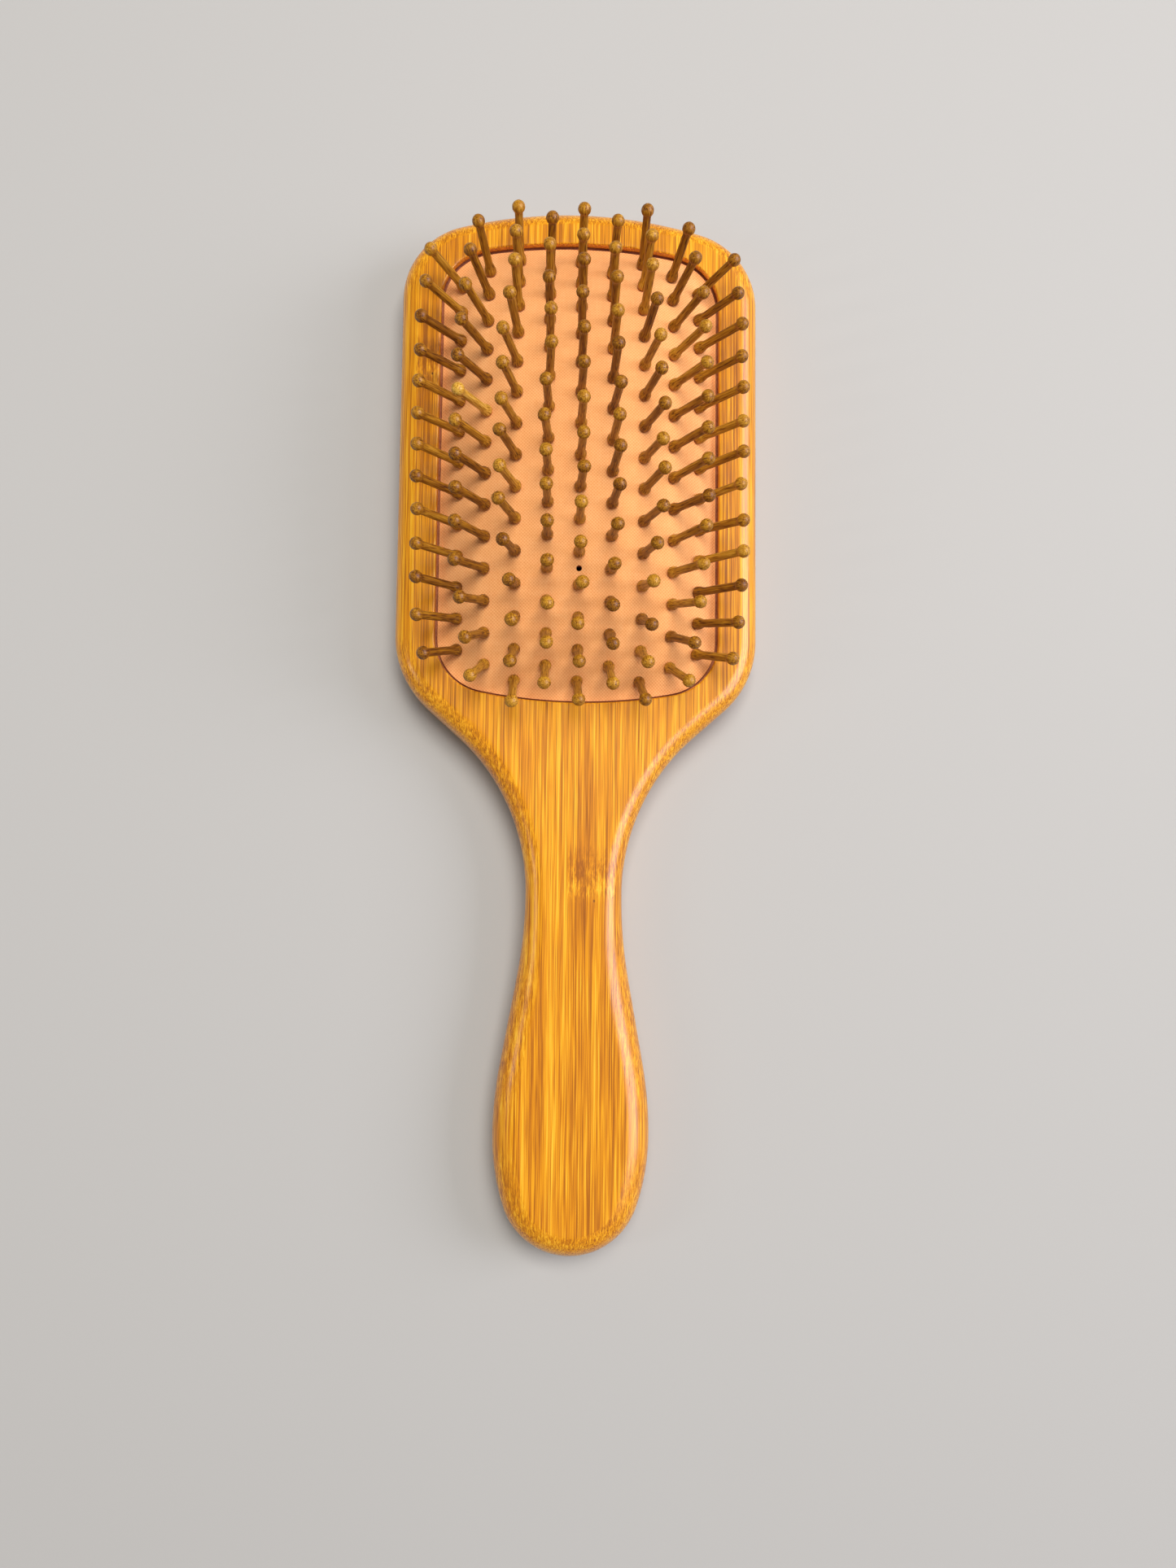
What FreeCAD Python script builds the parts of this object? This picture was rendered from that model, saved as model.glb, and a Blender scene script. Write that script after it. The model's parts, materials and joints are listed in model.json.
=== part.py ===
import FreeCAD, Part
import math
import os

# A bamboo paddle brush lying on its back: a board with a pocket, a domed rubber cushion faced with cloth,
# and ball-tipped bamboo pins set through the cushion. Millimetres. +Z is up, out of the pins; +Y runs from
# the handle to the toe; the origin is on the flat back, under the middle of the brush's bounding box.

Vector = FreeCAD.Vector
UP = Vector(0, 0, 1)

# Board
board_thickness = 14.0
head_length = 103.2           # toe edge to where the shoulders start to curve in
head_width = 84.5
toe_edge_radius = 105.0
head_corner_radius = 18.3
shoulder_radius = 22.0
shoulder_flat = 10.0          # straight run between the shoulder's curve and the neck's curve
neck_width = 22.2
handle_length = 141.0         # start of the shoulders to the butt of the handle
neck_share = 0.422            # how far down the handle its narrowest place is
grip_width = 35.7
grip_taper_share = 0.385      # of the run from neck to grip that is straight
grip_swell_share = 0.446      # of the bend between neck and grip that the grip's swell takes
butt_narrowing = 1.85         # how much smaller than half the grip the butt's radius is
butt_reach = 11.0             # from the grip's widest place to the butt's centre
edge_round = 4.5

# Pocket that holds the cushion, with an undercut groove for the cushion's rim
toe_rim = 8.7
side_rim = 9.35
pocket_past_shoulder = 15.5
pocket_end_radius = 120.0
pocket_corner_radius = 13.0
pocket_depth = 9.5
lip_thickness = 1.6
groove_height = 1.9
groove_depth = 2.0
pocket_edge_round = 0.4

# Cushion
crown_height = 9.5            # top of the dome above the board's face
rim_drop = 3.2                # the dome's edge below the board's face
dome_power_across = 5.8
dome_power_along = 5.25
dome_grid_reach = 1.12        # the dome's surface is drawn past the pocket's walls by this factor
dome_grid = (29, 41)          # heights worked out across and along the dome, joined by a smooth surface
cloth_thickness = 0.3
rubber_thickness = 1.4
glue_gap = 0.02
bead_gap = 0.15               # rubber bead to the groove's walls
bead_inset = 1.6              # how far the bead reaches back in from the pocket's wall
cloth_inset = 2.0             # the cloth's edge, in from the pocket's wall
vent_radius = 0.65
vent_row = -3.5               # rows from the middle, on the centreline

# Pins, in nine columns. Odd columns from the middle sit half a row off, so the pattern is staggered.
columns_each_side = 4
rows_by_column = {0: 15, 1: 14, 2: 15, 3: 14, 4: 13}
side_margin = 5.5             # pocket wall to the outermost column of roots
end_margin = 5.2              # pocket end to the last root of the middle column
ball_radius = 1.5
ball_height = 14.3            # root to the ball's centre
shaft_radius = 0.95
flare_radius = 1.4
flare_height = 2.75
flare_foot_height = 0.65
flare_bulge = 0.05            # how far the flare's side bows out from a straight cone
collar_lift = 0.1
neck_radius = 0.9
neck_clearance = 0.05
foot_radius = 2.0
foot_thickness = 0.8
foot_gap = 0.25

# Places worked out from the sizes above
half_length = (head_length + handle_length) / 2
toe_y = half_length
shoulder_y = toe_y - head_length
neck_y = shoulder_y - neck_share * handle_length
butt_radius = grip_width / 2 - butt_narrowing
grip_y = -half_length + butt_radius + butt_reach
face_z = board_thickness
pocket_half_width = head_width / 2 - side_rim
pocket_toe_y = toe_y - toe_rim
pocket_heel_y = shoulder_y - pocket_past_shoulder
pocket_y = (pocket_toe_y + pocket_heel_y) / 2
pocket_half_length = (pocket_toe_y - pocket_heel_y) / 2
crown_z = face_z + crown_height
dome_rise = crown_height + rim_drop
membrane_thickness = cloth_thickness + glue_gap + rubber_thickness
tolerance = 1e-3              # how near two heights or edges are to count as the same


def arc_between(centre, radius, start_angle, end_angle):
    """An arc in the plane z = 0 about (x, y), from one angle to another in radians, either way round."""
    points = []
    for angle in (start_angle, (start_angle + end_angle) / 2, end_angle):
        points.append(Vector(centre[0] + radius * math.cos(angle), centre[1] + radius * math.sin(angle), 0))
    return Part.Arc(*points).toShape()


def sweep_radius(width_change, run, flat):
    """Sum of the radii of an S-curve that steps in by width_change over run, with a straight flat between."""
    return (run ** 2 + width_change ** 2 - flat ** 2) / (2 * width_change)


def sweep_angle(width_change, run, flat):
    """How far that S-curve's straight flat leans from the Y axis, in radians."""
    radii = sweep_radius(width_change, run, flat)
    return math.atan2(run, radii - width_change) - math.atan2(flat, radii)


def mirrored_outline(right_edges):
    """A closed face from the edges of its right half, which run from the Y axis round to the Y axis."""
    half = Part.Wire(right_edges)
    other = half.mirror(Vector(0, 0, 0), Vector(1, 0, 0))
    return Part.Face(Part.Wire(Part.__sortEdges__(half.Edges + other.Edges)))


def board_outline():
    """Plan of the board: toe arc, corner, straight side, shoulder, neck, grip and round butt."""
    half_head = head_width / 2
    half_neck = neck_width / 2
    half_grip = grip_width / 2
    toe_centre_y = toe_y - toe_edge_radius
    corner_x = half_head - head_corner_radius
    corner_y = toe_centre_y + math.sqrt((toe_edge_radius - head_corner_radius) ** 2 - corner_x ** 2)
    toe_turn = math.atan2(corner_y - toe_centre_y, corner_x)

    shoulder_run = shoulder_y - neck_y
    shoulder_angle = sweep_angle(half_head - half_neck, shoulder_run, shoulder_flat)
    neck_sweep = sweep_radius(half_head - half_neck, shoulder_run, shoulder_flat) - shoulder_radius

    grip_run = neck_y - grip_y
    grip_flat = grip_taper_share * grip_run
    grip_angle = sweep_angle(half_grip - half_neck, grip_run, grip_flat)
    grip_bends = sweep_radius(half_grip - half_neck, grip_run, grip_flat)
    grip_swell_radius = grip_swell_share * grip_bends
    throat_radius = grip_bends - grip_swell_radius
    throat_x = half_neck + throat_radius

    hip_radius = (half_grip ** 2 + butt_reach ** 2 - butt_radius ** 2) / (2 * butt_narrowing)
    butt_turn = math.atan2(butt_reach, hip_radius - half_grip)

    corner_side = Vector(half_head, corner_y, 0)
    shoulder_top = Vector(half_head, shoulder_y, 0)
    toe_arc = arc_between((0, toe_centre_y), toe_edge_radius, math.pi / 2, toe_turn)
    corner_arc = arc_between((corner_x, corner_y), head_corner_radius, toe_turn, 0)
    shoulder_arc = arc_between((half_head - shoulder_radius, shoulder_y), shoulder_radius, 0, -shoulder_angle)
    neck_arc = arc_between((half_neck + neck_sweep, neck_y), neck_sweep, math.pi - shoulder_angle, math.pi)
    throat_arc = arc_between((throat_x, neck_y), throat_radius, math.pi, math.pi + grip_angle)
    swell_arc = arc_between((half_grip - grip_swell_radius, grip_y), grip_swell_radius, grip_angle, 0)
    hip_arc = arc_between((half_grip - hip_radius, grip_y), hip_radius, 0, -butt_turn)
    butt_arc = arc_between((0, grip_y - butt_reach), butt_radius, -butt_turn, -math.pi / 2)
    return mirrored_outline([
        toe_arc,
        corner_arc,
        Part.LineSegment(corner_side, shoulder_top).toShape(),
        shoulder_arc,
        Part.LineSegment(shoulder_arc.Vertexes[-1].Point, neck_arc.Vertexes[0].Point).toShape(),
        neck_arc,
        throat_arc,
        Part.LineSegment(throat_arc.Vertexes[-1].Point, swell_arc.Vertexes[0].Point).toShape(),
        swell_arc,
        hip_arc,
        butt_arc,
    ])


def pocket_outline(grow):
    """Plan of the pocket with its walls moved out by grow: two bowed ends, straight sides, round corners."""
    half_width = pocket_half_width + grow
    end_radius = pocket_end_radius + grow
    corner_radius = pocket_corner_radius + grow
    end_y = pocket_half_length + grow - end_radius
    corner_x = half_width - corner_radius
    corner_y = end_y + math.sqrt((end_radius - corner_radius) ** 2 - corner_x ** 2)
    turn = math.atan2(corner_y - end_y, corner_x)
    face = mirrored_outline([
        arc_between((0, end_y), end_radius, math.pi / 2, turn),
        arc_between((corner_x, corner_y), corner_radius, turn, 0),
        Part.LineSegment(Vector(half_width, corner_y, 0), Vector(half_width, -corner_y, 0)).toShape(),
        arc_between((corner_x, -corner_y), corner_radius, 0, -turn),
        arc_between((0, -end_y), end_radius, -turn, -math.pi / 2),
    ])
    face.translate(Vector(0, pocket_y, 0))
    return face


def prism(face, low, high):
    """The solid above a flat face drawn at z = 0, from z = low to z = high."""
    moved = face.copy()
    moved.translate(Vector(0, 0, low))
    return moved.extrude(Vector(0, 0, high - low))


def dome_drop(x, y):
    """How far the cushion's outer surface lies below its crown, at x, y from the pocket's centre."""
    across = (abs(x) / pocket_half_width) ** dome_power_across
    along = (abs(y) / pocket_half_length) ** dome_power_along
    return dome_rise * math.sqrt(across + along)


def dome_normal(x, y):
    """The dome's outward direction at x, y, from small differences in its height."""
    step = 0.01
    slope_x = (dome_drop(x + step, y) - dome_drop(x - step, y)) / (2 * step)
    slope_y = (dome_drop(x, y + step) - dome_drop(x, y - step)) / (2 * step)
    return Vector(slope_x, slope_y, 1).normalize()


def under_dome(depth):
    """Everything in the head that lies more than depth below the cushion's outer surface, as one solid."""
    across, along = dome_grid
    grid = []
    for i in range(across):
        x = pocket_half_width * dome_grid_reach * (2 * i / (across - 1) - 1)
        row = []
        for j in range(along):
            y = pocket_half_length * dome_grid_reach * (2 * j / (along - 1) - 1)
            row.append(Vector(x, pocket_y + y, crown_z - dome_drop(x, y) - depth))
        grid.append(row)
    surface = Part.BSplineSurface()
    surface.interpolate(grid)
    return surface.toShape().extrude(Vector(0, 0, -3 * dome_rise))


def surface_places(half_size, margin, count, drop_at):
    """Distances from the middle, out to half_size - margin, that are evenly spaced along the dome's slope."""
    steps = 400               # short straight steps that the slope's length is added up in
    last = half_size - margin
    plan = [last * n / steps for n in range(steps + 1)]
    run = [0.0]
    for near, far in zip(plan, plan[1:]):
        run.append(run[-1] + math.hypot(far - near, drop_at(far) - drop_at(near)))
    places = []
    for n in range(count + 1):
        wanted = run[-1] * n / count
        k = min(max(sum(1 for r in run if r < wanted), 1), steps)
        share = (wanted - run[k - 1]) / (run[k] - run[k - 1])
        places.append(plan[k - 1] + share * (plan[k] - plan[k - 1]))
    return places


half_rows = rows_by_column[0] - 1      # rows are counted in half steps, so that staggered ones have a place
column_places = surface_places(pocket_half_width, side_margin, columns_each_side, lambda x: dome_drop(x, 0))
row_places = surface_places(pocket_half_length, end_margin, half_rows, lambda y: dome_drop(0, y))


def pin_root(column, row):
    """Where a pin comes out of the cloth: column from -4 to 4, row in whole or half steps from the middle."""
    x = math.copysign(column_places[abs(column)], column)
    y = math.copysign(row_places[round(abs(row) * 2)], row)
    return x, y


def pin_rows(column):
    """The rows of a column's pins, from the toe to the heel."""
    count = rows_by_column[abs(column)]
    return [(count - 1) / 2 - n for n in range(count)]


def pin_groups(column):
    """A column's rows in three stretches: toe, middle and heel."""
    rows = pin_rows(column)
    third = round(len(rows) / 3)
    return {"toe": rows[:third], "middle": rows[third:-third], "heel": rows[-third:]}


def root_point(column, row):
    """The pin's root in the brush's own frame."""
    x, y = pin_root(column, row)
    return Vector(x, pocket_y + y, crown_z - dome_drop(x, y))


def stand_on_cushion(shape, column, row):
    """A copy of a shape drawn about +Z with its root at the origin, stood square to the dome."""
    placed = shape.copy()
    turn = FreeCAD.Rotation(UP, dome_normal(*pin_root(column, row)))
    placed.Placement = FreeCAD.Placement(root_point(column, row), turn)
    return placed


def profile_line(start, end):
    """A straight edge of the pin's profile between two (radius, height) points."""
    return Part.LineSegment(Vector(start[0], 0, start[1]), Vector(end[0], 0, end[1])).toShape()


def profile_arc(start, middle, end):
    """An edge of the pin's profile through three (radius, height) points."""
    return Part.Arc(*[Vector(radius, 0, height) for radius, height in (start, middle, end)]).toShape()


def pin_shape():
    """One turned pin: foot disc, neck, flared collar, shaft and ball, revolved about +Z."""
    foot_top = -membrane_thickness - foot_gap
    foot_bottom = foot_top - foot_thickness
    flare_foot = (flare_radius, collar_lift + flare_foot_height)
    flare_top = (shaft_radius, collar_lift + flare_height)
    flare_middle = ((flare_radius + shaft_radius) / 2 + flare_bulge, (flare_foot[1] + flare_top[1]) / 2)
    shaft_top = (shaft_radius, ball_height - math.sqrt(ball_radius ** 2 - shaft_radius ** 2))
    ball_top = (0, ball_height + ball_radius)
    corners = [
        (0, foot_bottom),
        (foot_radius, foot_bottom),
        (foot_radius, foot_top),
        (neck_radius, foot_top),
        (neck_radius, collar_lift),
        (flare_radius, collar_lift),
        flare_foot,
    ]
    edges = [profile_line(start, end) for start, end in zip(corners, corners[1:])]
    edges.append(profile_arc(flare_foot, flare_middle, flare_top))
    edges.append(profile_line(flare_top, shaft_top))
    edges.append(profile_arc(shaft_top, (ball_radius, ball_height), ball_top))
    edges.append(profile_line(ball_top, corners[0]))
    return Part.Face(Part.Wire(edges)).revolve(Vector(0, 0, 0), UP, 360)


def all_roots():
    """(column, row) of each pin."""
    return [(c, r) for c in range(-columns_each_side, columns_each_side + 1) for r in pin_rows(c)]


def pierce(sheet, radius):
    """A sheet with a hole through it at each pin and at the vent."""
    drill_length = 6 * membrane_thickness
    drill = Part.makeCylinder(radius, drill_length, Vector(0, 0, -drill_length / 2), UP)
    vent = Part.makeCylinder(vent_radius, drill_length, root_point(0, vent_row) - UP * drill_length / 2, UP)
    return sheet.cut([stand_on_cushion(drill, column, row) for column, row in all_roots()] + [vent])


def bamboo_body():
    """The board: rounded all round, with the pocket and its groove cut from the face."""
    groove_top = face_z - lip_thickness
    board = prism(board_outline(), 0, board_thickness)
    rims = [edge for edge in board.Edges if edge.BoundBox.ZLength < tolerance]
    board = board.makeFillet(edge_round, rims)
    pocket = prism(pocket_outline(0), face_z - pocket_depth, face_z + 1)
    groove = prism(pocket_outline(groove_depth), groove_top - groove_height, groove_top)
    board = board.cut(pocket)
    mouth = [edge for edge in board.Edges if on_pocket_mouth(edge)]
    return board.makeFillet(pocket_edge_round, mouth).cut(groove)


def on_pocket_mouth(edge):
    """Whether an edge lies on the face, round the pocket, and not out at the board's rounded rim."""
    box = edge.BoundBox
    at_face = abs(box.ZMin - face_z) < tolerance and box.ZLength < tolerance
    beside_pocket = max(abs(box.XMin), abs(box.XMax)) < pocket_half_width + tolerance
    along_pocket = box.YMax < pocket_toe_y + tolerance and box.YMin > pocket_heel_y - tolerance
    return at_face and beside_pocket and along_pocket


def cushion_rubber():
    """The moulded dome and the bead round its edge that sits in the groove."""
    outer = prism(pocket_outline(-bead_gap), 0, crown_z + 1)
    top = under_dome(cloth_thickness + glue_gap)
    dome = outer.common(top).cut(under_dome(membrane_thickness))
    bead_low = face_z - lip_thickness - groove_height + bead_gap
    bead_high = face_z - lip_thickness - bead_gap
    bead = prism(pocket_outline(groove_depth - bead_gap), bead_low, bead_high)
    bead = bead.cut(prism(pocket_outline(-bead_inset), bead_low - 1, bead_high + 1))
    return pierce(dome.fuse(bead).removeSplitter(), neck_radius + neck_clearance)


def cushion_cloth():
    """The woven facing glued over the dome, which stops just short of the bead."""
    outer = prism(pocket_outline(-cloth_inset), 0, crown_z + 1)
    sheet = outer.common(under_dome(0)).cut(under_dome(cloth_thickness))
    return pierce(sheet, neck_radius + neck_clearance)


def build():
    """Each node's name and its shape."""
    nodes = {
        "bamboo_body": bamboo_body(),
        "cushion_rubber": cushion_rubber(),
        "cushion_cloth": cushion_cloth(),
    }
    pin = pin_shape()
    for column in range(-columns_each_side, columns_each_side + 1):
        for part_name, rows in pin_groups(column).items():
            number = column + columns_each_side + 1
            pins = [stand_on_cushion(pin, column, row) for row in rows]
            nodes[f"pins_column{number}_{part_name}"] = Part.makeCompound(pins)
    return nodes


os.makedirs("parts", exist_ok=True)
for node, shape in build().items():
    shape.exportStep(f"parts/{node}.step")
    state = "valid" if shape.isValid() else "NOT VALID"
    print(node, len(shape.Solids), "solids", state, round(shape.Volume, 1))
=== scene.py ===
import json
import math

import bmesh
import bpy
import numpy as np
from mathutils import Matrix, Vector


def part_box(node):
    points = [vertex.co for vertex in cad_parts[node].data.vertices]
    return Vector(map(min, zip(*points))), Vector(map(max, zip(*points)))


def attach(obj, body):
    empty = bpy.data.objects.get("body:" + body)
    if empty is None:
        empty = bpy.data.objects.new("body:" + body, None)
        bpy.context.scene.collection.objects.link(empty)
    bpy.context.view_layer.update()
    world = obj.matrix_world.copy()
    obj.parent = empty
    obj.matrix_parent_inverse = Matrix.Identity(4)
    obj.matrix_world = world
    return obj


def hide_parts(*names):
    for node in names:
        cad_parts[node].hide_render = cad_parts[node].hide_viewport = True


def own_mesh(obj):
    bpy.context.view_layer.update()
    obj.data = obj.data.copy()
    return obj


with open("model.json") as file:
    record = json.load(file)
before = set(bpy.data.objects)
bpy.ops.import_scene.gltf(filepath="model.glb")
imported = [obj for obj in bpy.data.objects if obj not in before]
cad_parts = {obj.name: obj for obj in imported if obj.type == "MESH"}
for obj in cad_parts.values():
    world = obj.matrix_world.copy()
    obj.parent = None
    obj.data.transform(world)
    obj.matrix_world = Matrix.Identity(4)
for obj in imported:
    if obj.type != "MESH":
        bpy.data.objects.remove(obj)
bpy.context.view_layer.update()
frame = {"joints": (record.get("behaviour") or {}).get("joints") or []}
mm = 0.001

# ---------------------------------------------------------------------------------------------------------
# The board: laminated strips of bamboo pressed flat, sawn to the paddle's outline, rounded over along every
# edge with a cutter, routed for the cushion's pocket and groove, then sanded and dipped in clear lacquer.
# ---------------------------------------------------------------------------------------------------------
board_low, board_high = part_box("bamboo_body")
face_z = board_high.z
toe_y = board_high.y
butt_y = board_low.y
head_half = board_high.x
head_length = 103.2 * mm
toe_edge_radius = 105 * mm
head_corner_radius = 18.3 * mm
shoulder_radius = 22 * mm
shoulder_flat = 10 * mm
neck_share = 0.422                  # the narrowest place, as a share of the way from the shoulder to the butt
neck_half = 11.1 * mm
grip_half = 17.85 * mm
grip_taper_share = 0.385            # the straight part between the neck and the grip
grip_swell_share = 0.446            # the grip's part of the sum of the two arcs' radii
butt_narrowing = 1.85 * mm
butt_reach = 11 * mm                # from the grip's widest place on to where its round end starts

shoulder_y = toe_y - head_length
neck_y = shoulder_y - neck_share * (shoulder_y - butt_y)
butt_radius = grip_half - butt_narrowing
grip_y = butt_y + butt_radius + butt_reach

side_rim = 9.35 * mm
toe_rim = 8.7 * mm
heel_past_shoulder = 15.5 * mm
pocket_half_width = head_half - side_rim
pocket_toe_y = toe_y - toe_rim
pocket_heel_y = shoulder_y - heel_past_shoulder
pocket_y = (pocket_toe_y + pocket_heel_y) / 2
pocket_half_length = (pocket_toe_y - pocket_heel_y) / 2
pocket_end_radius = 120 * mm
pocket_corner_radius = 13 * mm
pocket_depth = 9.5 * mm
pocket_edge_round = 0.4 * mm
lip_thickness = 1.6 * mm
groove_height = 1.9 * mm
groove_depth = 2 * mm

head_edge_round = 3.9 * mm
neck_edge_round = 3.9 * mm
grip_edge_round = 5.3 * mm
edge_crease = math.radians(80)      # how far round the cutter's quarter turn goes before it meets the face
round_change = 22 * mm              # the stretch before the neck in which the round-over grows to the grip's
round_wander = 0.025                # the cutter is led by hand, so the round-over wanders by this share
wander_runs = (6.1 * mm, 23 * mm)
throat_drop = 13 * mm               # the level under the pocket where the head's face becomes the handle's
back_spine_end = 25 * mm            # where the back's middle line of points stops, in from the toe
outline_step = 0.8 * mm


def arc(centre, radius, start, end, count=600):
    """Points round a circle: centre plus radius times the cosine and sine of angles from start to end."""
    angle = np.linspace(start, end, count)
    return np.stack([centre[0] + radius * np.cos(angle), centre[1] + radius * np.sin(angle)], axis=1)


def run_of(path):
    """Distance travelled along a path of points, from its first point to each of them."""
    return np.concatenate([[0], np.cumsum(np.linalg.norm(np.diff(path, axis=0), axis=1))])


def points_at(path, places):
    """Points that lie the given distances along a path, on the line between its two nearest points."""
    run = run_of(path)
    return np.stack([np.interp(places, run, path[:, k]) for k in range(path.shape[1])], axis=1)


def outward(path):
    """Unit normals of a plane path that runs clockwise: its direction turned a quarter to the left."""
    direction = np.gradient(path, axis=0)
    normal = np.stack([-direction[:, 1], direction[:, 0]], axis=1)
    return normal / np.linalg.norm(normal, axis=1, keepdims=True)


def s_curve(change, run, flat):
    """An S of two arcs with a straight flat between, stepping in by change over run: the sum of its radii and
    the angle that the flat leans, from the right triangle between the two arcs' centres."""
    radii = (run ** 2 + change ** 2 - flat ** 2) / (2 * change)
    return radii, math.atan2(run, radii - change) - math.atan2(flat, radii)


def board_edge():
    """The right half of the outline from toe to butt: arcs joined by straight runs, and each arc's start."""
    toe_centre = toe_y - toe_edge_radius
    corner_x = head_half - head_corner_radius
    corner_y = toe_centre + math.sqrt((toe_edge_radius - head_corner_radius) ** 2 - corner_x ** 2)
    toe_turn = math.atan2(corner_y - toe_centre, corner_x)
    shoulder_radii, shoulder_lean = s_curve(head_half - neck_half, shoulder_y - neck_y, shoulder_flat)
    grip_run = neck_y - grip_y
    grip_radii, grip_lean = s_curve(grip_half - neck_half, grip_run, grip_taper_share * grip_run)
    neck_sweep = shoulder_radii - shoulder_radius
    swell = grip_swell_share * grip_radii
    throat = grip_radii - swell
    hip = (grip_half ** 2 + butt_reach ** 2 - butt_radius ** 2) / (2 * butt_narrowing)
    butt_turn = math.atan2(butt_reach, hip - grip_half)
    arcs = [
        arc((0, toe_centre), toe_edge_radius, math.pi / 2, toe_turn),
        arc((corner_x, corner_y), head_corner_radius, toe_turn, 0),
        arc((head_half - shoulder_radius, shoulder_y), shoulder_radius, 0, -shoulder_lean),
        arc((neck_half + neck_sweep, neck_y), neck_sweep, math.pi - shoulder_lean, math.pi),
        arc((neck_half + throat, neck_y), throat, math.pi, math.pi + grip_lean),
        arc((grip_half - swell, grip_y), swell, grip_lean, 0),
        arc((grip_half - hip, grip_y), hip, 0, -butt_turn),
        arc((0, grip_y - butt_reach), butt_radius, -butt_turn, -math.pi / 2),
    ]
    return np.vstack(arcs), [sum(len(a) for a in arcs[:n]) for n in range(len(arcs))]


def pocket_edge():
    """The right half of the pocket's wall from toe end to heel end, and the places where its arcs start."""
    end_y = pocket_half_length - pocket_end_radius
    corner_x = pocket_half_width - pocket_corner_radius
    corner_y = end_y + math.sqrt((pocket_end_radius - pocket_corner_radius) ** 2 - corner_x ** 2)
    turn = math.atan2(corner_y - end_y, corner_x)
    arcs = [
        arc((0, pocket_y + end_y), pocket_end_radius, math.pi / 2, turn),
        arc((corner_x, pocket_y + corner_y), pocket_corner_radius, turn, 0),
        arc((corner_x, pocket_y - corner_y), pocket_corner_radius, 0, -turn),
        arc((0, pocket_y - end_y), pocket_end_radius, -turn, -math.pi / 2),
    ]
    return np.vstack(arcs), [sum(len(a) for a in arcs[:n]) for n in range(len(arcs))]


def both_halves(right):
    """A closed loop from its right half, whose two ends lie on the middle line: the half, then its mirror."""
    return np.vstack([right, right[-2:0:-1] * np.where(np.arange(right.shape[1]) == 0, -1, 1)])


def ring_stack(rings):
    """Rings of plane points and their heights as one grid: rows are rings, columns run round the loop."""
    return np.stack([both_halves(np.column_stack([plan, np.broadcast_to(height, len(plan))]))
                     for plan, height in rings])


def quads(rows, columns, closed):
    """Corner numbers of the quads between neighbouring rows and columns of a grid, closed round or not."""
    across = columns if closed else columns - 1
    row, column = np.meshgrid(np.arange(rows - 1), np.arange(across), indexing="ij")
    near = row * columns + column
    far = row * columns + (column + 1) % columns
    return np.stack([near, far, far + columns, near + columns], axis=-1).reshape(-1, 4)


def piece_from_grids(name, grids, crease=math.radians(50), weld=1e-6, **marks):
    """One closed mesh from grids given as (points, closed round or not, faces left out): neighbours become
    quads, points that meet are welded and all faces are turned outwards. Marks are values for each point."""
    points, faces, start = [], [], 0
    for grid, closed, left_out in grids:
        corners = quads(*grid.shape[:2], closed)
        points.append(grid.reshape(-1, 3))
        faces.append(np.delete(corners, left_out, axis=0) + start)
        start += len(points[-1])
    mesh = bpy.data.meshes.new(name)
    mesh.from_pydata(np.vstack(points).tolist(), [], np.vstack(faces).tolist())
    for mark, values in marks.items():
        kind, field = ("FLOAT", "value") if values.ndim == 1 else ("FLOAT_VECTOR", "vector")
        mesh.attributes.new(mark, kind, "POINT").data.foreach_set(field, values.astype(np.float32).ravel())
    shell = bmesh.new()
    shell.from_mesh(mesh)
    bmesh.ops.delete(shell, geom=[v for v in shell.verts if not v.link_faces], context="VERTS")
    bmesh.ops.remove_doubles(shell, verts=shell.verts, dist=weld)
    bmesh.ops.recalc_face_normals(shell, faces=shell.faces)
    shell.to_mesh(mesh)
    shell.free()
    mesh.shade_smooth()
    mesh.set_sharp_from_angle(angle=crease)
    piece = bpy.data.objects.new(name, mesh)
    bpy.context.scene.collection.objects.link(piece)
    return piece


edge_path, edge_marks = board_edge()
wall_path, wall_marks = pocket_edge()
edge_run = run_of(edge_path)
wall_run = run_of(wall_path)
places = np.linspace(0, edge_run[-1], round(edge_run[-1] / outline_step) + 1)
edge = points_at(edge_path, places)
edge_out = outward(edge)
edge_out[[0, -1], 0] = 0

# Each place on the outline looks in to a place on the pocket's wall, or below the heel on the handle's spine.
throat_level = pocket_heel_y - throat_drop
throat_place = np.interp(throat_level, edge_path[::-1, 1], edge_run[::-1])
on_head = places <= throat_place
look_in = np.interp(
    places[on_head],
    [0, edge_run[edge_marks[1]], edge_run[edge_marks[2] - 1], edge_run[edge_marks[2]], places[on_head][-1]],
    [0, wall_run[wall_marks[1]], wall_run[wall_marks[2] - 1], wall_run[wall_marks[2]], wall_run[-1]])
wall = points_at(wall_path, look_in)
wall_out = np.stack([np.interp(look_in, wall_run, side) for side in outward(wall_path).T], axis=1)
wall[[0, -1], 0] = 0
wall_out[[0, -1]] = (0, 1), (0, -1)
handle_edge_y = edge[~on_head, 1]
spine_y = np.interp(handle_edge_y, [butt_y, grip_y, throat_level],
                    [grip_y - butt_reach, grip_y + butt_reach / 2, pocket_heel_y - pocket_edge_round])
mouth = np.vstack([wall + wall_out * pocket_edge_round, np.column_stack([0 * spine_y, spine_y])])

# The cutter's depth changes a little by hand: smaller round the head and the neck, larger round the grip.
edge_round = np.interp(edge[:, 1], [grip_y, neck_y - round_change, neck_y, shoulder_y, toe_y],
                       [grip_edge_round, grip_edge_round, neck_edge_round, head_edge_round, head_edge_round])
edge_round *= 1 + round_wander * np.sin(places / wander_runs[0]) * np.sin(places / wander_runs[1])


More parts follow.
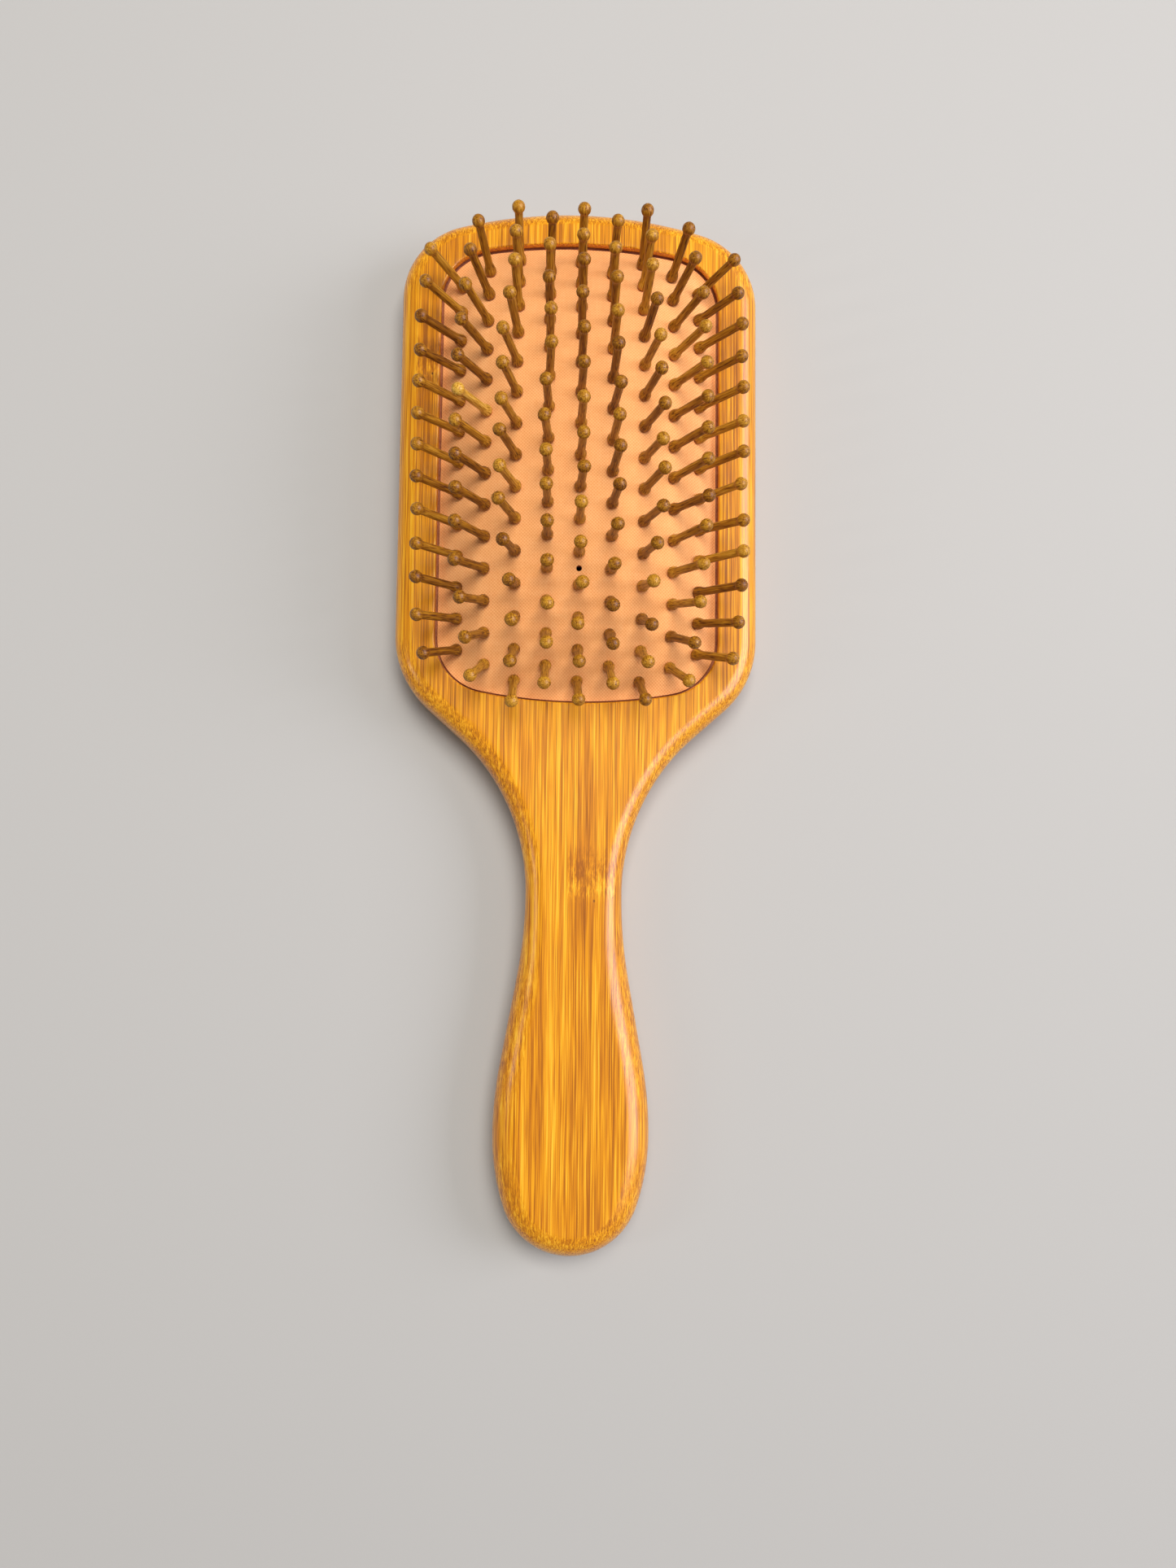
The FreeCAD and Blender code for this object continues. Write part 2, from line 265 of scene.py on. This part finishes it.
def rounded_edge(turn):
    """Inset and drop of the round-over at a turn from the side (0) to the face (edge_crease): a quarter
    circle cut short, scaled so that it still reaches the face."""
    inset = edge_round * (1 - np.cos(turn)) / (1 - math.cos(edge_crease))
    drop = edge_round * (1 - np.sin(turn) / math.sin(edge_crease))
    return inset[:, None] * -edge_out, drop


back_spine = np.column_stack([np.zeros(len(edge)), np.interp(
    edge[:, 1], [butt_y, grip_y, shoulder_y, toe_y],
    [grip_y - butt_reach, grip_y, shoulder_y, toe_y - back_spine_end])])
rings = []
inset, drop = rounded_edge(edge_crease)
for share in (0, 0.3, 0.6, 0.85, 0.97):
    rings.append((back_spine + (edge + inset - back_spine) * share, 0))
for turn in np.linspace(edge_crease, 0, 10):
    inset, drop = rounded_edge(turn)
    rings.append((edge + inset, drop))
for turn in np.linspace(0, edge_crease, 12):
    inset, drop = rounded_edge(turn)
    rings.append((edge + inset, face_z - drop))
for share in (0.05, 0.2, 0.4, 0.6, 0.8, 1):
    rings.append((edge + inset + (mouth - edge - inset) * share, face_z))
shell = ring_stack(rings)

# The pocket: over the mouth's small round, down the lip, out into the groove, back in and down to the floor.
round_turns = np.linspace(0, math.pi / 2, 5)
steps = [(pocket_edge_round * (1 - math.sin(a)), face_z - pocket_edge_round * (1 - math.cos(a)))
         for a in round_turns]
groove_top = face_z - lip_thickness
steps += [(0, groove_top), (groove_depth, groove_top), (groove_depth, groove_top - groove_height),
          (0, groove_top - groove_height), (0, face_z - pocket_depth)]
floor_spine = np.column_stack([np.zeros(len(wall)), pocket_y + 0.6 * (wall[:, 1] - pocket_y)])
pocket_rings = [(wall + wall_out * grow, height) for grow, height in steps]
pocket_rings += [(floor_spine + (wall - floor_spine) * share, face_z - pocket_depth) for share in (0.5, 0)]
pocket = ring_stack(pocket_rings)
board = piece_from_grids("lacquered_board", [(shell, True, []), (pocket, True, [])])


def paint(red, green, blue):
    """A colour mixed on the usual 0 to 255 scales, as the shader's own straight-line values."""
    scaled = np.array([red, green, blue]) / 255
    return tuple(np.where(scaled <= 0.04045, scaled / 12.92, ((scaled + 0.055) / 1.055) ** 2.4).tolist())


class Finish:
    """One value on its way through a finish's nodes. Sums written on it add Math nodes."""

    def __init__(self, tree, socket):
        self.tree = tree
        self.socket = socket

    def node(self, kind, settings, inputs, output=0):
        """A new node of a kind with its settings and a ramp's stops, then its inputs' values or links."""
        made = self.tree.nodes.new(kind)
        for name, value in settings.items():
            if name == "stops":
                for _ in value[2:]:
                    made.color_ramp.elements.new(0.5)
                for element, (place, colour) in zip(made.color_ramp.elements, value):
                    element.position = place
                    element.color = (*colour, 1)
            else:
                setattr(made, name, value)
        for name, value in inputs.items():
            if isinstance(value, Finish):
                self.tree.links.new(value.socket, made.inputs[name])
            else:
                made.inputs[name].default_value = value
        return Finish(self.tree, made.outputs[output])

    def sum(self, operation, *values):
        """A Math node of an operation on one, two or three values."""
        return self.node("ShaderNodeMath", {"operation": operation}, dict(enumerate(values)))

    def __add__(self, other):
        return self.sum("ADD", self, other)

    def __sub__(self, other):
        return self.sum("SUBTRACT", self, other)

    def __rsub__(self, other):
        return self.sum("SUBTRACT", other, self)

    def __mul__(self, other):
        return self.sum("MULTIPLY", self, other)

    __radd__ = __add__
    __rmul__ = __mul__

    def floor(self):
        return self.sum("FLOOR", self)

    def wave(self):
        return self.sum("SINE", self)

    def ease(self, low, high):
        """0 below low, 1 above high and a smooth rise between; high may be the lower one."""
        return self.node("ShaderNodeMapRange", {"interpolation_type": "SMOOTHSTEP"},
                         {"Value": self, "From Min": low, "From Max": high})

    def stretched(self, x, y, z):
        """A place with its three coordinates multiplied by x, y and z."""
        return self.node("ShaderNodeVectorMath", {"operation": "MULTIPLY"}, {0: self, 1: (x, y, z)})

    def along(self, axis):
        """One coordinate of a place."""
        return self.node("ShaderNodeSeparateXYZ", {}, {0: self}, axis)

    def noise(self, detail, roughness):
        """Cloudy noise at a place, about one lump to each unit."""
        return self.node("ShaderNodeTexNoise", {}, {
            "Vector": self, "Scale": 1.0, "Detail": detail, "Roughness": roughness})

    def cells(self):
        """Distance to the nearest of a scatter of points, about one to each unit."""
        return self.node("ShaderNodeTexVoronoi", {}, {"Vector": self, "Scale": 1.0}, "Distance")

    def ramp(self, *stops):
        """A colour from a value, by stops of place and colour."""
        return self.node("ShaderNodeValToRGB", {"stops": stops}, {"Fac": self})

    def mixed(self, other, share):
        """This colour with a share of another in it."""
        return self.node("ShaderNodeMix", {"data_type": "RGBA"}, {0: share, 6: self, 7: other}, 2)


def new_finish(name, constants):
    """A material with its shader's fixed values set, and its surface place in millimetres."""
    material = bpy.data.materials.new(name)
    material.use_nodes = True
    tree = material.node_tree
    shader = tree.nodes["Principled BSDF"]
    for socket, value in constants.items():
        shader.inputs[socket].default_value = value
    spot = tree.nodes.new("ShaderNodeTexCoord")
    return material, shader, Finish(tree, spot.outputs["Object"]).stretched(1 / mm, 1 / mm, 1 / mm)


def feed(shader, **inputs):
    """Links values to the shader's sockets, whose names are written with _ for a space."""
    for name, value in inputs.items():
        value.tree.links.new(value.socket, shader.inputs[name.replace("_", " ")])


def bump(height, strength, distance):
    """A surface direction tilted by a height, of a distance in metres at strength 1."""
    return height.node("ShaderNodeBump", {}, {"Height": height, "Strength": strength, "Distance": distance})


# In millimetres, as the finish reads its places: the strips' width and a seam's x, the three plies of the
# board, and each knuckle's strip from left to right, its level, and its side: 1 the face, -1 the back.
strip_width = 11.3
seam_x = -1.5
ply_thickness = 14 / 3
knuckles = [(-1.5, 9.8, -37.1, 1), (-38.6, -32.2, 82.4, 1), (9.8, 21.1, -96, -1), (-12.8, -1.5, 31, -1)]


def lacquered_bamboo():
    """Bamboo as rods of fibre along +Y: noise squeezed across and drawn out along, so that it shows as
    streaks on the faces, dashes where an edge cuts the fibres aslant and specks on the ends. Strips differ in
    tone, and a knuckle is a dark ragged band with a pale line and pits under it."""
    material, shader, spot = new_finish("lacquered_bamboo", {
        "Coat Roughness": 0.24, "Coat IOR": 1.5, "Specular IOR Level": 0.3})
    drift = spot.stretched(0.03, 0.011, 0.03).noise(1.0, 0.5)
    x = spot.along(0) + (drift - 0.5) * 1.2
    y = spot.along(1)
    z = spot.along(2)
    fibre = spot.node("ShaderNodeCombineXYZ", {}, {0: x, 1: y, 2: z})
    ply = (z * (1 / ply_thickness)).floor()
    strip = ((x - seam_x + ply * (strip_width / 2) - strip_width) * (1 / strip_width)).floor()
    lot = strip.node("ShaderNodeTexWhiteNoise", {"noise_dimensions": "2D"}, {
        "Vector": strip.node("ShaderNodeCombineXYZ", {}, {0: strip, 1: ply})}, "Value")
    lines = fibre.stretched(1.9, 0.009, 1.9).noise(4.0, 1.0)
    hairs = fibre.stretched(3.1, 0.05, 3.1).noise(2.0, 0.6)
    broad = fibre.stretched(0.3, 0.006, 0.3).noise(1.0, 0.5)
    bundles = 1 - fibre.stretched(1.3, 0.05, 1.3).cells().ease(0.08, 0.30)
    short = fibre.stretched(1.9, 0.42, 1.9).noise(3.0, 0.7)
    ragged = (fibre.stretched(1.5, 0.12, 1.5).noise(3.0, 0.7) - 0.5) * 12
    pit_cells = fibre.stretched(0.42, 0.30, 0.42).cells()
    joint, pale, below, pits = 0, 0, 0, 0
    for left, right, level, side in knuckles:
        inside = x.ease(left - 0.3, left + 0.3) * x.ease(right + 0.3, right - 0.3)
        inside = inside * (z.ease(8, 9) if side > 0 else z.ease(6, 5))
        rise = y - level
        height = rise + ragged
        joint = joint + inside * height.ease(8.5, 2.5) * height.ease(-5.5, -2.5)
        pale = pale + inside * height.ease(-4.2, -2.6) * height.ease(0.4, -1.4)
        below = below + inside * rise.ease(-4, -6) * rise.ease(-32, -8)
        pits = pits + inside * rise.ease(-6.0, -4.5) * rise.ease(-0.5, -2.0)
    pits = pits * pit_cells.ease(0.17, 0.10)
    tone = 0.5 + (lines - 0.5) * 2.6 + (hairs - 0.5) * 1.4 + (broad - 0.5) * 0.3 + (lot - 0.5) * 0.13
    tone = tone - bundles * 0.10 + joint * ((short - 0.5) * 1.8 - 0.15) + pale * 0.2 - below * 0.09
    colour = tone.ramp((0.10, paint(158, 88, 1)), (0.32, paint(197, 118, 1)), (0.52, paint(220, 140, 5)),
                       (0.70, paint(238, 164, 16)), (0.92, paint(252, 192, 52)))
    colour = colour.mixed((*paint(74, 34, 6), 1), pits)
    feed(shader, Base_Color=colour, Roughness=0.5 - (hairs - 0.5) * 0.2,
         Coat_Weight=0.8 - bundles * 0.3 - (hairs - 0.5) * 1.2,
         Normal=bump(lines * 0.9 + hairs * 0.4 - bundles * 0.4 - pits * 6, 0.25, 0.05 * mm))
    return material


board.data.materials.append(lacquered_bamboo())
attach(board, "board")
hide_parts("bamboo_body")

# ---------------------------------------------------------------------------------------------------------
# The cushion: a soft rubber dome moulded with a bead round its edge, which is pressed into the groove, and a
# peach cloth of fine plain weave glued over it. One small hole lets the air out as the cushion gives.
# ---------------------------------------------------------------------------------------------------------
crown_height = 9.5 * mm
rim_drop = 3.2 * mm
dome_power_across = 5.8
dome_power_along = 5.25
cloth_thickness = 0.3 * mm
rubber_thickness = 1.4 * mm
glue_gap = 0.02 * mm
cloth_gap = 0.55 * mm               # the cloth's turned-down edge, in from the pocket's wall
cloth_net = (113, 189)              # the cloth's points across and along, for its dimples
rubber_net = (57, 95)
bead_gap = 0.15 * mm
vent_radius = 0.65 * mm
vent_row = -3.5
dimple_depth = 0.22 * mm
dimple_radius = 1.9 * mm
thread_pitch = 0.74                 # the weave's two threads, in millimetres
crown_z = face_z + crown_height
dome_rise = crown_height + rim_drop
rows_by_column = {0: 15, 1: 14, 2: 15, 3: 14, 4: 13}
side_margin = 5.5 * mm
end_margin = 5.2 * mm
hold_depth = 1.9 * mm               # under the face, where the bead holds up the dome's edge
held_drop = crown_height + hold_depth
hold_softness = 0.4 * mm
settled_z = 11.2 * mm               # the bead's height, which stays in its groove as the cushion is pressed


def dome_drop(x, y):
    """How far the dome lies under its crown: its rise times the root of a steep power of the share of the way
    to the side plus another of the share of the way to the end."""
    across = (abs(x) / pocket_half_width) ** dome_power_across
    along = (abs(y) / pocket_half_length) ** dome_power_along
    return dome_rise * np.sqrt(across + along)


def places_down_slope(last, count, drop):
    """Distances from the middle out to last that are evenly spaced along the slope of the dome."""
    plan = np.linspace(0, last, 401)
    run = run_of(np.column_stack([plan, drop(plan)]))
    return np.interp(np.linspace(0, run[-1], count + 1), run, plan)


column_places = places_down_slope(pocket_half_width - side_margin, 4, lambda x: dome_drop(x, 0))
row_places = places_down_slope(pocket_half_length - end_margin, rows_by_column[0] - 1,
                               lambda y: dome_drop(0, y))


def root_plan(column, row):
    """Where a pin comes out of the cloth, from the pocket's centre: columns -4 to 4, rows in half steps."""
    return (math.copysign(column_places[abs(column)], column),
            math.copysign(row_places[round(abs(row) * 2)], row))


def column_rows(column):
    """The rows of a column's pins, from the toe to the heel."""
    count = rows_by_column[abs(column)]
    return [(count - 1) / 2 - n for n in range(count)]


roots = np.array([root_plan(c, r) for c in range(-4, 5) for r in column_rows(c)])
vent_y = root_plan(0, vent_row)[1]


def dome_plan(inset, across, along):
    """A square net laid over the pocket's shape, drawn in by inset: each side of the net runs from one
    corner's middle to the next, and inside it every point blends the four sides."""
    right = wall_path - outward(wall_path) * inset
    right[[0, -1], 0] = 0
    loop = both_halves(right) - (0, pocket_y)
    run = run_of(np.vstack([loop, loop[:1]]))
    loop = np.vstack([loop, loop[:1]])
    corner = run[(wall_marks[1] + wall_marks[2]) // 2]
    half = run[-1] / 2
    stops = [corner, half - corner, half + corner, 2 * half - corner]
    u = np.linspace(0, 1, across)
    v = np.linspace(0, 1, along)
    right_side = points_at(loop, stops[1] + (stops[0] - stops[1]) * v)
    left_side = points_at(loop, stops[2] + (stops[3] - stops[2]) * v)
    heel_side = points_at(loop, stops[2] + (stops[1] - stops[2]) * u)
    toe_side = points_at(loop, (stops[3] - 2 * half + (stops[0] - stops[3] + 2 * half) * u) % (2 * half))
    u, v = u[:, None, None], v[None, :, None]
    sides = (1 - u) * left_side[None] + u * right_side[None]
    sides = sides + (1 - v) * heel_side[:, None] + v * toe_side[:, None]
    corners = ((1 - u) * (1 - v) * left_side[0] + u * (1 - v) * right_side[0]
               + (1 - u) * v * left_side[-1] + u * v * right_side[-1])
    return sides - corners


def dome_net(inset, depth, across, along, dimple=0.0):
    """The dome's surface over that net, depth below the outer one, with a bell-shaped dimple where each pin
    draws it in. Near the wall it eases level: its drop is the soft minimum of the dome's and held_drop."""
    net = dome_plan(inset, across, along)
    x, y = net[..., 0], net[..., 1]
    away = np.sqrt((x[..., None] - roots[:, 0]) ** 2 + (y[..., None] - roots[:, 1]) ** 2).min(axis=-1)
    drop = held_drop - hold_softness * np.logaddexp(0, (held_drop - dome_drop(x, y)) / hold_softness)
    height = crown_z - drop - depth - dimple * np.exp(-(away / dimple_radius) ** 2)
    return np.stack([x, y + pocket_y, height], axis=-1)


def opened(net, radius):
    """A net with a round hole at the vent: the points round four of its squares are drawn to a circle. Also
    gives the hole's rim, and the numbers of the faces inside it."""
    across, along = net.shape[:2]
    i = across // 2
    j = int(np.argmin(abs(net[i, :, 1] - pocket_y - vent_y)))
    ring = [(i + a, j - 2) for a in range(-2, 2)] + [(i + 2, j + b) for b in range(-2, 2)]
    ring += [(i - a, j + 2) for a in range(-2, 2)] + [(i - 2, j - b) for b in range(-2, 2)]
    rows, columns = np.array(ring).T
    centre = np.array([0, pocket_y + vent_y])
    spoke = net[rows, columns, :2] - centre
    net[rows, columns, :2] = centre + spoke / np.linalg.norm(spoke, axis=1, keepdims=True) * radius
    inside = [(i + a) * (along - 1) + j + b for a in range(-2, 2) for b in range(-2, 2)]
    return net[rows, columns], inside


def rim_of(net):
    """The outer points of a net, once round."""
    return np.vstack([net[:, 0], net[-1, 1:], net[-2::-1, -1], net[0, -2:0:-1]])


def shell_piece(name, top, bottom, rim_rings):
    """A closed sheet from its two faces: rings of wall join their outer rims and line the vent."""
    top_vent, inside = opened(top, vent_radius)
    bottom_vent, _ = opened(bottom, vent_radius)
    rim = np.stack([rim_of(top), *rim_rings, rim_of(bottom)])
    vent = np.stack([top_vent, bottom_vent])
    return piece_from_grids(name, [(top, False, inside), (bottom, False, inside), (rim, True, []),
                                   (vent, True, [])], math.radians(60), 1e-7)


cloth_top = dome_net(cloth_gap, 0, *cloth_net, dimple=dimple_depth)
cloth_bottom = dome_net(cloth_gap, cloth_thickness, *cloth_net, dimple=dimple_depth)
cloth = shell_piece("cushion_cloth_facing", cloth_top, cloth_bottom, [])

# In section the rubber's edge turns up outside the cloth's, runs out under the lip and back in above the
# groove's lower side: shares of the way out into the groove, and heights under the face.
rubber_depth = cloth_thickness + glue_gap
rubber_top = dome_net(cloth_gap, rubber_depth, *rubber_net)
rubber_bottom = dome_net(cloth_gap, rubber_depth + rubber_thickness, *rubber_net)
edge_rim = rim_of(rubber_top)
way_out = rim_of(dome_net(bead_gap - groove_depth, 0, *rubber_net))
bead = []
for share, under_face in ((0.1, 2.8 * mm), (1, 2 * mm), (1, 2.8 * mm), (0.1, 3.2 * mm)):
    ring = edge_rim + (way_out - edge_rim) * share
    ring[:, 2] = face_z - under_face
    bead.append(ring)
rubber = shell_piece("cushion_rubber_dome", rubber_top, rubber_bottom, bead)


def woven_cloth():
    """Plain weave: two sets of threads as crossed sine waves over the dome, so that their crossings stand up
    as staggered dots. The raised crossings are also painted lighter, a painted highlight on the weave's
    crests, with a slow change of tone from thread to thread."""
    material, shader, spot = new_finish("peach_plain_weave", {
        "Sheen Weight": 0.25, "Sheen Roughness": 0.5, "Specular IOR Level": 0.25})
    turn = 2 * math.pi / thread_pitch
    crossing_height_and_highlight = (spot.along(0) * turn).wave() * (spot.along(1) * turn).wave()
    slub = spot.stretched(0.35, 3.2, 0.35).noise(2.0, 0.5) + spot.stretched(3.2, 0.35, 0.35).noise(2.0, 0.5)
    soft = spot.stretched(0.07, 0.07, 0.07).noise(2.0, 0.5)
    # The crossings' height also lightens the colour here: a painted highlight on the raised threads, beside
    # the real tone of the slubs and the cloth.
    tone = 0.5 + crossing_height_and_highlight * 0.26 + (slub - 1) * 0.30 + (soft - 0.5) * 0.25
    colour = tone.ramp((0.15, paint(234, 152, 86)), (0.5, paint(248, 174, 108)), (0.85, paint(255, 194, 134)))
    feed(shader, Base_Color=colour, Roughness=0.86 - crossing_height_and_highlight * 0.06, Normal=bump(crossing_height_and_highlight, 0.5, 0.05 * mm))
    return material


def moulded_rubber():
    """Dull peach rubber with a faint mould grain."""
    material, shader, spot = new_finish("moulded_rubber", {"Specular IOR Level": 0.35})
    grain = spot.stretched(1.6, 1.6, 1.6).noise(3.0, 0.6)
    colour = grain.ramp((0.3, paint(176, 104, 72)), (0.7, paint(204, 132, 96)))
    feed(shader, Base_Color=colour, Roughness=0.55 + grain * 0.2, Normal=bump(grain, 0.3, 0.05 * mm))
    return material


press = next(joint for joint in frame["joints"] if joint["name"] == "cushion_press")
travel = -press["range_m"][0]
for piece, node, finish in ((cloth, "cushion_cloth", woven_cloth()),
                            (rubber, "cushion_rubber", moulded_rubber())):
    piece.data.materials.append(finish)
    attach(piece, "cushion")
    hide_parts(node)
    1 - travel / (crown_z - settled_z)
    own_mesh(piece)

# ---------------------------------------------------------------------------------------------------------
# The pins: bamboo rods turned on a lathe with a ball tip and a swollen foot, dyed brown, and pulled through
# the rubber from inside so that the collar sits on the cloth. No two are quite alike in tone or in lean.
# ---------------------------------------------------------------------------------------------------------
ball_radius = 1.5 * mm
ball_height = 14.3 * mm
shaft_radius = 0.94 * mm
flare_radius = 1.4 * mm
collar_lift = 0.1 * mm
neck_radius = 0.9 * mm
foot_radius = 2 * mm
foot_thickness = 0.8 * mm
foot_gap = 0.5 * mm                 # room under the rubber for the foot to tilt in
foot_top = -(cloth_thickness + glue_gap + rubber_thickness + foot_gap)
collar_foot = [(0.25 * mm, collar_lift), (0.04 * mm, 0.35 * mm)]    # in from the collar's radius, and up
collar_base = 0.75 * mm
collar_height = 2.1 * mm
collar_power = 1.4
shaft_waist = 7 * mm
shaft_top = ball_height - 2 * mm
shaft_taper = 0.98
lean_spread = 0.022                 # how far the pins lean from square, as slopes
length_spread = 0.12 * mm
pin_sides = 16
pale_pin = (-3, 1.5)                # one pin was cut from paler bamboo
tone_range = (0, 0.62)              # the darkest and the palest of the others
chance = np.random.default_rng(7)


def pin_profile():
    """Radius and height up one pin: foot disc, neck, a rounded collar that narrows to the shaft as a power of
    a cosine, and the ball as a circle from where the shaft meets it to its top."""
    ball = np.linspace(-math.acos(shaft_radius / ball_radius), math.pi / 2, 9)
    flare = np.linspace(0, 1, 6)
    collar = np.column_stack([
        shaft_radius + (flare_radius - shaft_radius) * np.cos(flare * math.pi / 2) ** collar_power,
        collar_base + collar_height * flare])
    return np.vstack([
        [(0, foot_top - foot_thickness), (foot_radius, foot_top - foot_thickness), (foot_radius, foot_top),
         (neck_radius, foot_top), (neck_radius, collar_lift)],
        [(flare_radius - inset, height) for inset, height in collar_foot],
        collar,
        [(shaft_radius, shaft_waist), (shaft_radius * shaft_taper, shaft_top)],
        np.column_stack([ball_radius * np.cos(ball), ball_height + ball_radius * np.sin(ball)]),
    ])


def square_to_dome(x, y, lean):
    """Axes of a pin at x, y: its own +Z square to the dome, by small differences in the drop, and leaned."""
    step = 0.01 * mm
    up = np.array([(dome_drop(x + step, y) - dome_drop(x - step, y)) / (2 * step) + lean[0],
                   (dome_drop(x, y + step) - dome_drop(x, y - step)) / (2 * step) + lean[1], 1])
    up /= np.linalg.norm(up)
    side = np.cross([0, 1, 0], up)
    side /= np.linalg.norm(side)
    return np.stack([side, np.cross(up, side), up])


def turned_pin(column, row):
    """A pin's grid of points in place, the same points in the pin's own axes in millimetres for its grain,
    and its tone."""
    profile = pin_profile()
    turn = np.linspace(0, 2 * math.pi, pin_sides, endpoint=False) + chance.uniform(0, 1)
    out_of_round = 1 + 0.02 * np.sin(2 * turn + chance.uniform(0, 6))
    radius = profile[:, :1]
    own = np.stack([radius * np.cos(turn) * out_of_round, radius * np.sin(turn) * out_of_round,
                    np.broadcast_to(profile[:, 1:], (len(profile), pin_sides))], axis=-1)
    x, y = root_plan(column, row)
    lean = chance.normal(0, lean_spread, 2)
    root = np.array([x, y + pocket_y, crown_z - dome_drop(x, y)])
    length = np.where(own[..., 2:] > collar_base + collar_height, chance.normal(0, length_spread), 0)
    placed = (own + length * [0, 0, 1]) @ square_to_dome(x, y, lean) + root
    tone = 1.0 if (column, row) == pale_pin else chance.uniform(*tone_range)
    grain = own / mm + chance.uniform(-40, 40, 3)
    return placed, grain, tone


def turned_bamboo():
    """Dyed bamboo: dark fibre streaks down the pin and specks on the ball's end grain, over a tone of its
    own, from noise squeezed across the pin and drawn out along it."""
    material, shader, _ = new_finish("dyed_pin_bamboo", {
        "Coat Weight": 0.12, "Coat Roughness": 0.2, "Specular IOR Level": 0.35})
    tree = material.node_tree
    grain = Finish(tree, tree.nodes.new("ShaderNodeAttribute").outputs["Vector"])
    grain.socket.node.attribute_name = "grain"
    lot = Finish(tree, tree.nodes.new("ShaderNodeAttribute").outputs["Fac"])
    lot.socket.node.attribute_name = "tone"
    fine = grain.stretched(3.4, 3.4, 0.16).noise(3.0, 0.6)
    specks = 1 - grain.stretched(2.4, 2.4, 0.30).cells().ease(0.16, 0.42)
    broad = grain.stretched(0.7, 0.7, 0.10).noise(1.0, 0.5)
    tone = lot * 0.44 + 0.27 + (fine - 0.5) * 1.05 + (broad - 0.5) * 0.35 - specks * 0.26
    colour = tone.ramp((0.0, paint(74, 34, 2)), (0.22, paint(124, 72, 6)), (0.45, paint(170, 114, 20)),
                       (0.68, paint(210, 156, 50)), (0.95, paint(246, 208, 108)))
    feed(shader, Base_Color=colour, Roughness=0.46 - (fine - 0.5) * 0.2,
         Normal=bump(fine * 0.6 - specks * 0.5, 0.35, 0.06 * mm))
    return material


pin_finish = turned_bamboo()
for column in range(-4, 5):
    rows = column_rows(column)
    third = round(len(rows) / 3)
    stretches = {"toe": rows[:third], "middle": rows[third:-third], "heel": rows[-third:]}
    for stretch, stretch_rows in stretches.items():
        pins = [turned_pin(column, row) for row in stretch_rows]
        name = f"column{column + 5}_{stretch}"
        piece = piece_from_grids(
            f"turned_pins_{name}", [(placed, True, []) for placed, _, _ in pins], math.radians(45), 1e-8,
            grain=np.concatenate([grain.reshape(-1, 3) for _, grain, _ in pins]),
            tone=np.concatenate([np.full(grain[..., 0].size, tone) for _, grain, tone in pins]))
        piece.data.materials.append(pin_finish)
        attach(piece, f"pins_{name}")
        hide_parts(f"pins_{name}")

# ---------------------------------------------------------------------------------------------------------
# The table it lies on, the light and the view: a pale plain surface, a soft light above, a cool window to
# the right, the bright glare that it leaves on the lacquered edges, and a small warm lamp to the left, seen
# from above the middle of the brush.
# ---------------------------------------------------------------------------------------------------------
table_half = 3
table_z = -0.02 * mm
corners = [(x * table_half, y * table_half, table_z) for x, y in ((-1, -1), (1, -1), (1, 1), (-1, 1))]
table_mesh = bpy.data.meshes.new("table")
table_mesh.from_pydata(corners, [], [(0, 1, 2, 3)])
table = bpy.data.objects.new("table", table_mesh)
bpy.context.scene.collection.objects.link(table)
table_finish, _, _ = new_finish("pale_table", {
    "Base Color": (*paint(186, 185, 184), 1), "Roughness": 1.0, "Specular IOR Level": 0.0})
table_mesh.materials.append(table_finish)


def soft_light(name, place, size, power, colour):
    """A rectangle of light of a size at a place, turned to face the middle of the brush's back."""
    lamp = bpy.data.lights.new(name, "AREA")
    lamp.shape = "RECTANGLE"
    lamp.size, lamp.size_y = size
    lamp.energy = power
    lamp.color = colour
    light = bpy.data.objects.new(name, lamp)
    light.location = place
    light.rotation_euler = (-Vector(place)).to_track_quat("-Z", "Y").to_euler()
    bpy.context.scene.collection.objects.link(light)
    return light


window = soft_light("window", (0.95, 0.1, 0.62), (0.6, 0.6), 7, (0.95, 0.94, 1.0))
window.visible_glossy = False
ceiling = soft_light("ceiling", (0.1, 0.3, 1.1), (0.6, 0.6), 12, (1.0, 0.97, 0.92))
ceiling.visible_glossy = False
glare = soft_light("window_glare", (0.76, 0.1, 0.76), (1.1, 0.72), 15, (0.86, 0.84, 1.0))
glare.visible_diffuse = False
soft_light("lamp", (-0.6, -0.1, 0.45), (0.05, 0.2), 0.35, (1.0, 0.94, 0.84))

world = bpy.data.worlds.new("room")
world.use_nodes = True
room_light = world.node_tree.nodes["Background"].inputs
room_light["Color"].default_value = (0.9, 0.88, 0.86, 1)
room_light["Strength"].default_value = 0.2
bpy.context.scene.world = world
bpy.context.scene.view_settings.view_transform = "Standard"

eye = bpy.data.cameras.new("eye")
eye.lens = 27.05
eye.sensor_width = 36
eye.clip_start = 0.005
camera = bpy.data.objects.new("camera", eye)
camera.location = (-8.78 * mm, -36.57 * mm, 282.99 * mm)
camera.rotation_euler = [math.radians(angle) for angle in (4.468, -2.534, 0.630)]
bpy.context.scene.collection.objects.link(camera)
bpy.context.scene.camera = camera
